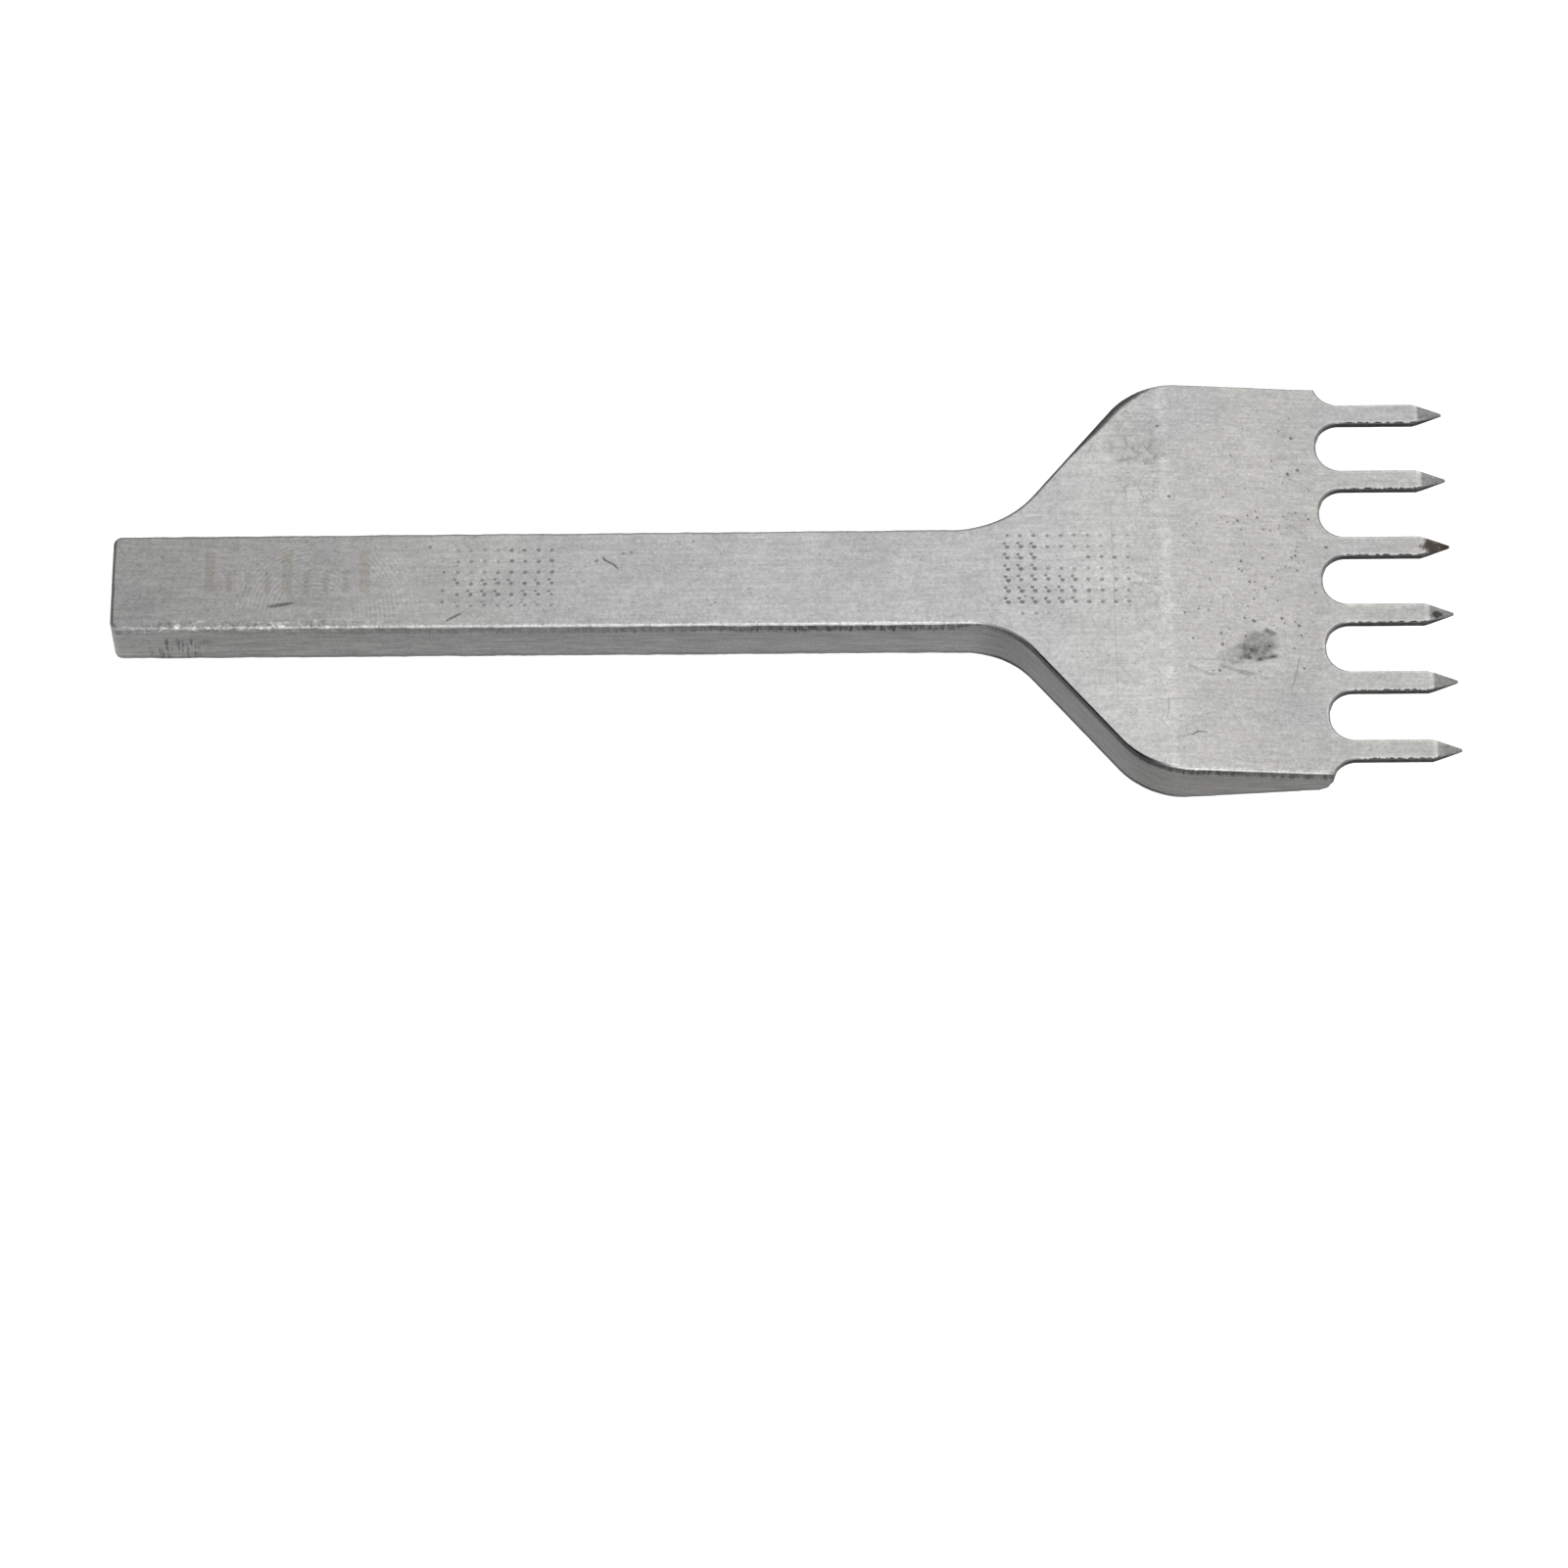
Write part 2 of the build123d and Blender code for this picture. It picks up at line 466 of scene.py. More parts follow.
def edge_radii():
    """The rounded edge's radius at each outline point, smoothed and a little uneven."""
    x, y = outline[:, 0], np.abs(outline[:, 1])
    radius = np.full(len(outline), SHANK_EDGE)
    radius[x > hollow_x + 1.0] = FLARE_EDGE
    radius[x > flare_end_x] = BLADE_EDGE
    among_teeth = (x > gullet_x - 0.01) & (y < head_half - 0.01)
    radius[among_teeth] = TOOTH_EDGE
    window = 9
    padded = np.concatenate((radius[-window:], radius, radius[:window]))
    smooth = np.convolve(padded, np.ones(2 * window + 1) / (2 * window + 1), "valid")
    smooth = np.where(among_teeth, TOOTH_EDGE, smooth)
    uneven = 0.75 + 0.3 * ripple(run_length, 1.1) + 0.2 * ripple(run_length, 0.4)
    height = top_face(x) - back_face(x)
    return np.minimum(smooth * uneven, 0.3 * height)


def make_rings():
    """Ring points (outline point, ring, xyz) and how far each is below or above the two edges."""
    radius = edge_radii()
    inner = outline - mitre * radius[:, None]
    top = front_height(inner[:, 0], inner[:, 1])
    back = back_height(inner[:, 0], inner[:, 1])
    wall = top - back - 2 * radius
    outer_side = np.abs(outline[:, 1]) > shank_half - 1.0
    ragged = np.where(outline[:, 0] < gullet_x, BODY_NOTCH, TOOTH_NOTCH) * outer_side
    rings = []

    def add_ring(inset, height, below_top, above_back):
        place = outline - mitre * inset[:, None]
        rings.append((np.column_stack((place, height)), below_top, above_back))

    for angle in ROUND_ANGLES:
        inset = radius * (1 - math.sin(angle))
        add_ring(inset, top - radius * (1 - math.cos(angle)), -inset, wall)
    for depth, fraction, share in WALL_DEPTHS:
        depth = np.minimum(depth, fraction * wall)
        notch = ragged * share * ripple(run_length, 0.55) * (0.4 + 0.6 * ripple(run_length, 2.3))
        add_ring(notch, top - radius - depth, depth, wall - depth)
    for foot, fraction in WALL_FEET:
        foot = np.minimum(foot, fraction * wall)
        add_ring(np.zeros_like(wall), back + radius + foot, wall - foot, foot)
    for angle in ROUND_ANGLES[::-1]:
        inset = radius * (1 - math.sin(angle))
        add_ring(inset, back + radius * (1 - math.cos(angle)), wall, -inset)
    places = np.stack([ring[0] for ring in rings], 1)
    below = np.stack([ring[1] for ring in rings], 1)
    above = np.stack([ring[2] for ring in rings], 1)
    return places, below, above


def ring_normals(places, steps):
    """Normals of the ring surface from the given steps along the outline."""
    down = np.empty_like(places)
    down[:, 1:-1] = places[:, 2:] - places[:, :-2]
    down[:, 0] = places[:, 1] - places[:, 0]
    down[:, -1] = places[:, -1] - places[:, -2]
    normals = np.cross(steps, down)
    normals /= np.linalg.norm(normals, axis=2, keepdims=True)
    inner = places[:, 0]
    normals[:, 0] = face_normals(front_height, inner[:, 0], inner[:, 1], 1)
    inner = places[:, -1]
    normals[:, -1] = face_normals(back_height, inner[:, 0], inner[:, 1], -1)
    return normals


rings, ring_below, ring_above = make_rings()
point_count, ring_count = rings.shape[:2]
forward = np.roll(rings, -1, axis=0) - rings
backward = rings - np.roll(rings, 1, axis=0)
central = forward + backward
corner_mask = is_corner[:, None, None]
normals_ahead = ring_normals(rings, np.where(corner_mask, forward, central))
normals_behind = ring_normals(rings, np.where(corner_mask, backward, central))

# ---- The two faces, filled with triangles between the innermost rings ----


def inside(points, loop):
    """Which points lie inside a closed loop."""
    found = np.zeros(len(points), bool)
    ahead = np.roll(loop, -1, axis=0)
    for (x0, y0), (x1, y1) in zip(loop, ahead):
        if y0 == y1:
            continue
        crosses = (points[:, 1] < y0) != (points[:, 1] < y1)
        found ^= crosses & (points[:, 0] < x0 + (points[:, 1] - y0) * (x1 - x0) / (y1 - y0))
    return found


def distance_to(points, others):
    """Distance from each point to the nearest of the others."""
    tree = KDTree(len(others))
    for index, (x, y) in enumerate(others):
        tree.insert((x, y, 0), index)
    tree.balance()
    return np.array([tree.find((x, y, 0))[2] for x, y in points])


def sides_at(x, y, half):
    """Outline indices of a tooth's two sides, where its half width is known."""
    return tuple(
        int(np.argmin(np.hypot(outline[:, 0] - x, outline[:, 1] - y - side * half)))
        for side in (1, -1)
    )


def cut_indices():
    """Outline indices of the planes between pieces: pairs joined across each face."""
    pairs = []
    for x in (shank_end_x, ridge_x):
        on_plane = np.nonzero(np.abs(outline[:, 0] - x) < 1e-6)[0]
        pairs.append((int(on_plane[0]), int(on_plane[-1])))
    return pairs + [sides_at(root_x, y, tooth_half) for y in tooth_rows]


def face_points(loop, step, features, creases):
    """Points to fill a face with: an even grid, rows along the creases, and the marks."""
    columns = np.arange(butt_x + step / 2, tip_x, step)
    rows = np.arange(-head_half + step / 2, head_half, step)
    grid = np.array([(x, y + (index % 2) * step / 2) for index, x in enumerate(columns) for y in rows])
    for x in creases:
        grid = grid[np.abs(grid[:, 0] - x) > 0.35 * step]
        grid = np.vstack((grid, [(x, y) for y in np.arange(-head_half + 0.2, head_half, CREASE_STEP)]))
    if features:
        features = np.array(features)
        grid = grid[distance_to(grid, features) > FEATURE_GAP]
        grid = np.vstack((grid, features))
    grid = grid[inside(grid, loop)]
    return grid[distance_to(grid, loop) > LOOP_GAP]


def fill_face(loop, pairs, points):
    """Triangles, as indices into the loop's points and then the extra points."""
    count = len(loop)
    edges = [(index, (index + 1) % count) for index in range(count)]
    middles = []
    for start, end in pairs:
        across = line(loop[start], loop[end], CREASE_STEP)[1:]
        chain = [start, *range(count + len(middles), count + len(middles) + len(across)), end]
        edges += list(zip(chain, chain[1:]))
        middles += across
    if middles:
        points = points[distance_to(points, middles) > FEATURE_GAP]
        points = np.vstack((middles, points))
    vertices = [Vector(place) for place in np.vstack((loop, points))]
    found, _, faces, origins, _, _ = delaunay_2d_cdt(vertices, edges, [], 1, 1e-7)
    to_input = [origin[0] if origin else None for origin in origins]
    triangles = []
    for face in faces:
        triangle = [to_input[index] for index in face]
        a, b, c = (found[index] for index in face)
        if None in triangle or len(set(triangle)) < 3:
            continue
        turn = (b - a).cross(c - a)
        triangles.append(triangle if turn > 0 else triangle[::-1])
    return np.array(triangles), points


def corner_normals(height, plan, triangles, upward):
    """A normal for each triangle's corner, taken just inside it so that creases stay crisp."""
    corners = plan[triangles]
    middle = corners.mean(axis=1, keepdims=True)
    inner = (corners + NORMAL_INSET * (middle - corners)).reshape(-1, 2)
    return face_normals(height, inner[:, 0], inner[:, 1], upward).reshape(-1, 3, 3)


front_loop, back_loop = rings[:, 0, :2], rings[:, -1, :2]
cuts = cut_indices()
joined = cuts + [sides_at(facet_x, y, facet_half) for y in tooth_rows]  # and the points' creases
front_creases = [ridge_x + offset for offset in (-0.9, -0.45, 0.45, 0.9)] + [gullet_x]
front_features = dents.mesh_points() + grooves.mesh_points()
front_triangles, front_points = fill_face(
    front_loop, joined, face_points(front_loop, GRID_STEP, front_features, front_creases)
)
back_creases = [gullet_x - BREAK_START, gullet_x - STEP_START, gullet_x + STEP_END]
back_triangles, back_points = fill_face(
    back_loop, joined, face_points(back_loop, 1.5 * GRID_STEP, [], back_creases)
)

# ---- The whole skin: vertices, faces with their corners' normals, and each face's piece ----

PIECES = ["shank", "shoulder", "blade"] + [f"tooth_{n + 1}" for n in range(TOOTH_COUNT)]


def on_height(points, height):
    return np.column_stack((points, height(points[:, 0], points[:, 1])))


front_start = point_count * ring_count
back_start = front_start + len(front_points)
vertices = np.vstack((
    rings.reshape(-1, 3), on_height(front_points, front_height), on_height(back_points, back_height)
))
front_depth = -distance_to(front_points, outline)
back_depth = -distance_to(back_points, outline)
FAR = 9.0
below_top = np.concatenate((ring_below.ravel(), front_depth, np.full(len(back_points), FAR)))
above_back = np.concatenate((ring_above.ravel(), np.full(len(front_points), FAR), back_depth))
marks_height = dents.height(*front_points.T) + grooves.height(*front_points.T)
pressed = np.concatenate((np.zeros(front_start), marks_height, np.zeros(len(back_points))))


def piece_at(x, y):
    """Index of the piece that holds a place on a face."""
    if x < rings[cuts[0][0], 0, 0]:
        return 0
    if x < rings[cuts[1][0], 0, 0]:
        return 1
    if x < root_x:
        return 2
    return 3 + int(np.argmin([abs(y - row) for row in tooth_rows]))


def wall_faces():
    """Quads between the rings, with their normals and pieces."""
    ahead = (np.arange(point_count) + 1) % point_count
    middles = (outline + outline[ahead]) / 2
    owner = []
    for index, (x, y) in enumerate(middles):
        if cuts[0][0] <= index < cuts[0][1] and x > shank_end_x:
            between = cuts[1][0] <= index < cuts[1][1]
            owner.append(piece_at(max(x, ridge_x + 0.01), y) if between else 1)
        else:
            owner.append(0)
    faces, normals, pieces = [], [], []
    for index in range(point_count):
        after = int(ahead[index])
        for ring in range(ring_count - 1):
            a, d = index * ring_count + ring, index * ring_count + ring + 1
            b, c = after * ring_count + ring, after * ring_count + ring + 1
            faces.append((a, b, c, d))
            normals.append((
                normals_ahead[index, ring], normals_behind[after, ring],
                normals_behind[after, ring + 1], normals_ahead[index, ring + 1],
            ))
            pieces.append(owner[index])
    return faces, normals, pieces


def face_triangles(triangles, points, start, ring, height, upward):
    """A face's triangles in the skin's own numbering, with their normals and pieces."""
    plan = np.vstack((rings[:, ring, :2], points))
    normals = corner_normals(height, plan, triangles, upward)
    skin_index = np.concatenate((
        np.arange(point_count) * ring_count + (ring % ring_count), np.arange(len(points)) + start
    ))
    faces = skin_index[triangles]
    middles = plan[triangles].mean(axis=1)
    pieces = [piece_at(x, y) for x, y in middles]
    if upward < 0:
        faces, normals = faces[:, ::-1], normals[:, ::-1]
    return [tuple(int(v) for v in face) for face in faces], list(normals), pieces


skin_parts = [
    wall_faces(),
    face_triangles(front_triangles, front_points, front_start, 0, front_height, 1),
    face_triangles(back_triangles, back_points, back_start, -1, back_height, -1),
]
skin_faces = [face for part in skin_parts for face in part[0]]
skin_normals = [normals for part in skin_parts for normals in part[1]]
skin_pieces = np.array([piece for part in skin_parts for piece in part[2]])


def open_loops(faces):
    """Loops of edges that only one face uses, running against that face."""
    edges = {(a, b) for face in faces for a, b in zip(face, face[1:] + face[:1])}
    follow = {b: a for a, b in edges if (b, a) not in edges}
    loops = []
    while follow:
        start, current = follow.popitem()
        loop = [start]
        while current != start:
            loop.append(current)
            current = follow.pop(current)
        loops.append(tuple(loop))
    return loops


def add_object(name, data):
    made = bpy.data.objects.new(name, data)
    bpy.context.scene.collection.objects.link(made)
    return made


def make_piece(index, material):
    """One closed piece of the skin, its cut ends filled flat."""
    name = PIECES[index]
    chosen = np.nonzero(skin_pieces == index)[0]
    faces = [skin_faces[face] for face in chosen]
    normals = [normal for face in chosen for normal in skin_normals[face]]
    used = sorted({vertex for face in faces for vertex in face})
    centre_x = vertices[used, 0].mean()
    for loop in open_loops(faces):
        faces.append(loop)
        direction = 1.0 if vertices[list(loop), 0].mean() > centre_x else -1.0
        normals += [(direction, 0.0, 0.0)] * len(loop)
    place = {vertex: number for number, vertex in enumerate(used)}
    mesh = bpy.data.meshes.new(name + "_steel")
    mesh.from_pydata((vertices[used] * MM).tolist(), [], [[place[v] for v in face] for face in faces])
    mesh.polygons.foreach_set("use_smooth", [True] * len(faces))
    mesh.normals_split_custom_set([tuple(map(float, normal)) for normal in normals])
    for label, values in (("below_top", below_top), ("above_back", above_back), ("pressed", pressed)):
        layer = mesh.attributes.new(label, "FLOAT", "POINT")
        layer.data.foreach_set("value", values[used].astype(np.float32))
    mesh.materials.append(material)
    piece = add_object(name + "_steel", mesh)
    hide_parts(name)
    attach(piece, "root")
    return piece


# ---- Materials ----

# Painted light: the faces are painted darker at the struck end and lighter towards the head, for how the
# light falls along the tool.
FACE_PAINTED_LIGHT_TONES = (0.32, 0.475)  # at the struck end, and from the middle of the shank on
SHOULDER_PAINTED_LIGHT = 0.11
BLADE_PAINTED_LIGHT = 0.08
# Painted shade: the sides are painted darker than the faces.
SIDE_PAINTED_SHADE_TONE = 0.19
# Painted shade on the points' sloping facets.
FACET_PAINTED_SHADE = -0.4
WARM_STEEL = (1.0, 0.99, 0.96, 1)
COOL_STEEL = (0.993, 0.996, 1.0, 1)
ETCHED_TINT = (1.0, 0.955, 0.88, 1)
STAIN_TINT = (0.19, 0.155, 0.13, 1)
SCALE_PLACE = (7.6, -1.1)     # the first tall tick's foot, from the struck end
RINGS_CENTRE = (15.8, -2.9)
RINGS_SPACING = 0.36


class Value:
    """Something that varies over the surface; arithmetic on it adds Math nodes."""

    def __init__(self, nodes, socket):
        self.nodes = nodes
        self.socket = socket

    def __add__(self, other):
        return self.nodes.math("ADD", self, other)

    def __sub__(self, other):
        return self.nodes.math("SUBTRACT", self, other)

    def __rsub__(self, other):
        return self.nodes.math("SUBTRACT", other, self)

    def __mul__(self, other):
        return self.nodes.math("MULTIPLY", self, other)

    def __truediv__(self, other):
        return self.nodes.math("DIVIDE", self, other)

    def __abs__(self):
        return self.nodes.math("ABSOLUTE", self)

    __radd__ = __add__
    __rmul__ = __mul__


class Nodes:
    """Short ways to add and join nodes in one material."""

    def __init__(self, name):
        self.material = bpy.data.materials.new(name)
        self.material.use_nodes = True
        self.tree = self.material.node_tree
        self.shader = self.tree.nodes["Principled BSDF"]

    def add(self, kind, inputs, output=0, **settings):
        made = self.tree.nodes.new(kind)
        for setting, value in settings.items():
            setattr(made, setting, value)
        for socket, value in inputs.items():
            self.set(made.inputs[socket], value)
        return Value(self, made.outputs[output])

    def set(self, socket, value):
        if isinstance(value, Value):
            self.tree.links.new(value.socket, socket)
        else:
            socket.default_value = value

    def math(self, operation, *values):
        return self.add("ShaderNodeMath", dict(enumerate(values)), operation=operation)

    def largest(self, first, *others):
        for other in others:
            first = self.math("MAXIMUM", first, other)
        return first

    def mix(self, share, colour, other):
        """One colour turning into another."""
        inputs = {0: share, 6: colour, 7: other}
        return self.add("ShaderNodeMix", inputs, 2, data_type="RGBA")

    def fade(self, value, start, end, low=0.0, high=1.0):
        """low up to start, high from end on, and smooth between; start may be above end."""
        if start > end:
            start, end, low, high = end, start, high, low
        inputs = {0: value, 1: start, 2: end, 3: low, 4: high}
        return self.add("ShaderNodeMapRange", inputs, interpolation_type="SMOOTHSTEP")

    def span(self, value, rise_start, rise_end, fall_start, fall_end):
        """1 between rise_end and fall_start, 0 outside, smooth at both ends."""
        return self.fade(value, rise_start, rise_end) * self.fade(value, fall_end, fall_start)

    def noise(self, scale, detail=2.0, roughness=0.5):
        """Noise over the surface; three scales in place of one stretch it along the axes."""
        place = self.place
        if isinstance(scale, tuple):
            place = self.add("ShaderNodeMapping", {"Vector": place, "Scale": scale})
            scale = 1.0
        inputs = {"Vector": place, "Scale": scale, "Detail": detail, "Roughness": roughness}
        return self.add("ShaderNodeTexNoise", inputs)

    def specks(self, scale, radius, share):
        """Small scattered round flecks, in a share of the cells of a flat pattern."""
        cells = {"Vector": self.place, "Scale": scale}
        away = self.add("ShaderNodeTexVoronoi", cells, "Distance", voronoi_dimensions="2D")
        picked = self.add("ShaderNodeTexVoronoi", cells, "Color", voronoi_dimensions="2D")
        picked = self.add("ShaderNodeSeparateColor", {0: picked})
        size = radius * scale
        return self.fade(away, size, 0.4 * size) * self.fade(picked, 1 - share, 1.02 - share)

    def turned(self, x, y, angle):
        """Distances along and across a direction, from a place measured from the struck end."""
        cos, sin = math.cos(angle), math.sin(angle)
        away_x, away_y = self.along - x, self.y - y
        return away_x * cos + away_y * sin, away_y * cos - away_x * sin

    def spot(self, x, y, reach_x, reach_y, angle, soft, warp, grain):
        """A ragged patch on the front: 1 at its middle, 0 outside an ellipse."""
        along, across = self.turned(x, y, angle)
        along *= 1 / reach_x
        across *= 1 / reach_y
        uneven = (self.noise(grain, 3.0) - 0.5) * (4 * warp)
        return self.fade(along * along + across * across + uneven, 1.0, 1.0 - soft)

    def stroke(self, start, end, width, wobble):
        """A thin line on the front, from one place to another, measured from the struck end."""
        step_x, step_y = end[0] - start[0], end[1] - start[1]
        length = math.hypot(step_x, step_y)
        along, across = self.turned(*start, math.atan2(step_y, step_x))
        if wobble:
            across += (self.noise(0.5) - 0.5) * wobble
        ends = self.span(along, 0.0, 0.15 * length, 0.85 * length, length)
        return ends * self.fade(abs(across), width / 2, 0.2 * width)


def start_steel(name):
    """The nodes' coordinates in millimetres, the tool's regions, and the noises that they share."""
    n = Nodes(name)
    metres = n.add("ShaderNodeTexCoord", {}, "Object")
    n.place = n.add("ShaderNodeVectorMath", {0: metres, "Scale": 1 / MM}, operation="SCALE")
    n.x = n.add("ShaderNodeSeparateXYZ", {0: n.place}, 0)
    n.y = n.add("ShaderNodeSeparateXYZ", {0: n.place}, 1)
    n.along = n.x - butt_x
    n.below, n.above, n.pressed = (
        n.add("ShaderNodeAttribute", {}, "Fac", attribute_name=label)
        for label in ("below_top", "above_back", "pressed")
    )

    n.front = n.fade(n.below, 0.04, -0.04)
    n.face = n.largest(n.front, n.fade(n.above, 0.04, -0.04))
    n.wall = 1 - n.face
    n.rim = n.span(n.below, -0.32, -0.12, -0.03, 0.05)
    n.teeth = n.fade(n.x, gullet_x - 0.2, gullet_x + 0.3)
    n.body = 1 - n.teeth
    n.flare = n.span(n.x, hollow_x + 1.0, hollow_x + 4.0, flare_end_x - 0.5, flare_end_x + 3.5)
    n.far_side = n.fade(n.y, shank_half - 1.2, shank_half - 0.6)
    n.near_side = n.fade(n.y, 0.6 - shank_half, 0.4 - shank_half)

    from_tooth = n.math("WRAP", n.y, pitch / 2, -pitch / 2)
    n.cut_down = n.fade(from_tooth - (tooth_rows[-1] % pitch - pitch / 2), 0.0, 0.1)

    n.cloud = n.noise(0.09, 3.0)
    n.mottle = n.noise(1.9, 4.0, 0.66)
    n.speck = n.noise(4.5, 2.0, 0.7)
    n.grain = n.noise((0.3, 4.5, 4.5), 3.0, 0.65)
    n.side_grain = n.noise((0.4, 0.4, 4.5), 4.0, 0.7)
    n.jag = n.noise((2.4, 2.4, 0.5), 4.0, 0.75)
    n.patchy = n.noise(0.35)
    return n


def face_tone(n):
    """Brightness of the faces: painted shade at the struck end and painted light towards the head, a painted
    highlight along the ridge, mottled, with specks and fine brushing.
    """
    tone = (
        n.fade(n.along, 4.0, 50.0, *FACE_PAINTED_LIGHT_TONES)
        * n.fade(n.cloud, 0.25, 0.75, 0.94, 1.06)
        * n.fade(n.patchy, 0.3, 0.7, 0.97, 1.03)
        * n.fade(n.mottle, 0.2, 0.8, 0.83, 1.17)
        * n.fade(n.speck, 0.2, 0.8, 0.84, 1.16)
        * n.fade(n.grain, 0.25, 0.75, 0.9, 1.1)
    )
    # Painted light: the shoulder and the blade are painted a little lighter.
    tone *= 1 + SHOULDER_PAINTED_LIGHT * n.span(n.x, flare_x, flare_end_x, ridge_x, ridge_x + 6.0)
    tone *= 1 + BLADE_PAINTED_LIGHT * n.fade(n.x, ridge_x, ridge_x + 6.0)
    # Painted highlight: a faint lighter band along the ridge.
    ridge = n.span(n.x, ridge_x - 1.1, ridge_x - 0.3, ridge_x + 0.05, ridge_x + 0.5) * n.front
    tone *= 1 + 0.1 * ridge * n.fade(n.mottle, 0.35, 0.65, 0.1, 1.0)
    tone *= 1 - 0.3 * n.body * n.specks(0.55, 0.11, 0.5)
    return tone * (1 + 0.2 * n.body * n.specks(0.5, 0.1, 0.3))


def side_shade_and_streaks(n):
    """Brightness of the sides: painted shade, darker still on the flare and past it, and streaked along
    their length by the milling cutter.
    """
    tone = (
        SIDE_PAINTED_SHADE_TONE
        * n.fade(n.side_grain, 0.25, 0.75, 0.76, 1.24)
        * n.fade(n.mottle, 0.2, 0.8, 0.88, 1.12)
        * n.fade(n.speck, 0.2, 0.8, 0.86, 1.14)
        * n.fade(n.below, 1.2, 3.4, 0.95, 1.07)
    )
    tone *= 1 + 0.14 * n.fade(n.along, 12.0, 0.0)
    # Painted shade: the flare's side, and the head's side past it, darker still.
    tone *= 1 - 0.26 * n.flare
    tone *= 1 - 0.12 * n.fade(n.x, flare_end_x, flare_end_x + 4.0)
    tick = n.noise((3.6, 3.6, 0.5), 3.0, 0.7)
    scuffed = n.span(n.along, 2.4, 4.2, 5.6, 8.6) * n.wall * n.fade(n.below, 1.0, 1.9)
    return tone * (1 - 0.68 * scuffed * n.fade(tick, 0.5, 0.62))


def edge_wear_and_painted_light(n, tone):
    """Wear and painted light at the edges: a painted highlight along the near rim over a ragged dark band,
    painted shadow lines on the flare, painted shade along the far edge and the foot of the sides, painted
    glints and nicks.
    """
    reach = n.fade(n.x, hollow_x - 0.5, hollow_x + 1.5, 0.8, 0.22)
    reach += n.fade(n.x, flare_end_x - 2.5, flare_end_x + 0.5, 0.0, 0.5)
    ragged_reach = reach + 1.5 * n.jag - 0.75
    band = n.fade(n.below, -0.02, 0.08) * n.fade(n.below - ragged_reach, 0.2, -0.2) * n.body
    strength = n.fade(n.along, 8.0, 24.0, 0.06, 0.4) + n.fade(n.along, 36.0, 54.0, 0.0, 0.4)
    strength *= n.fade(n.noise((0.16, 0.16, 0.0), 1.0), 0.35, 0.65, 0.8, 1.05)
    tone *= 1 - band * strength * n.fade(n.jag, 0.38, 0.58, 0.35, 1.0)
    # Painted shadow along the foot of the sides, stronger on the flare.
    bottom_shadow_line = n.span(n.above, -0.2, -0.05, 0.2, 0.45) * n.body
    tone *= 1 - bottom_shadow_line * (0.7 * n.flare + 0.25)

    # Painted highlight along the near top edge.
    near_rim = n.rim * n.near_side * n.body * (1 - n.flare)
    rim_light = n.fade(n.speck, 0.35, 0.6, 0.6, 1.0) * n.fade(n.x, flare_end_x, ridge_x, 0.3, 0.42)
    tone *= 1 + 0.85 * near_rim * rim_light
    bitten = near_rim * n.fade(n.jag, 0.56, 0.64)
    tone *= 1 - 0.35 * bitten * n.fade(n.x, ridge_x, butt_x + 20.0, 0.5, 1.0)
    # Painted shade along the far edge of the shank.
    far_rim_shade = n.fade(n.below, -0.32, -0.14) * n.far_side * n.front
    tone *= 1 - 0.4 * far_rim_shade * n.fade(n.x, ridge_x, ridge_x - 4.0)
    tone *= 1 - 0.45 * n.fade(n.along, 0.34, 0.16) * n.front

    shadow_line = n.span(n.below, -0.15, -0.06, 0.45, 0.8) * n.flare * (1 - n.far_side)
    tone *= 1 - 0.97 * shadow_line * n.fade(n.x, flare_x - 0.5, flare_x + 3.0, 0.45, 1.0)
    # Painted shade along the far edge of the flare, wider at its corner.
    corner = n.span(n.x, flare_end_x - 6.0, flare_end_x - 2.0, flare_end_x - 1.0, flare_end_x + 2.5)
    far_flare_shade = n.fade(-1.0 * n.below / (0.45 * corner + 0.24), 1.0, 0.5)
    far_flare_shade *= n.flare * n.far_side * n.front
    tone *= 1 - 0.82 * far_flare_shade * n.fade(n.x, flare_x - 2.0, flare_x + 6.0, 0.3, 1.0)

    # Painted glints and dark nicks beside the near edge, by the struck end.
    struck = n.fade(n.y, 0.85 - shank_half, 0.45 - shank_half) * n.span(n.along, 1.5, 4.0, 15.0, 24.0)
    flakes = n.noise(2.1, 3.0, 0.75)
    tone *= 1 + 0.75 * struck * n.fade(n.below, 0.6, 0.35) * n.fade(flakes, 0.55, 0.64)
    tone *= 1 - 0.35 * struck * n.fade(n.below, 0.5, 0.3) * n.fade(flakes, 0.46, 0.38)
    chipped = n.fade(n.along, 5.5, 1.5) * n.fade(n.y, 0.5 - shank_half, -shank_half)
    return tone * (1 - 0.45 * chipped * n.fade(n.below, 0.8, 0.4) * n.fade(n.jag, 0.42, 0.6))


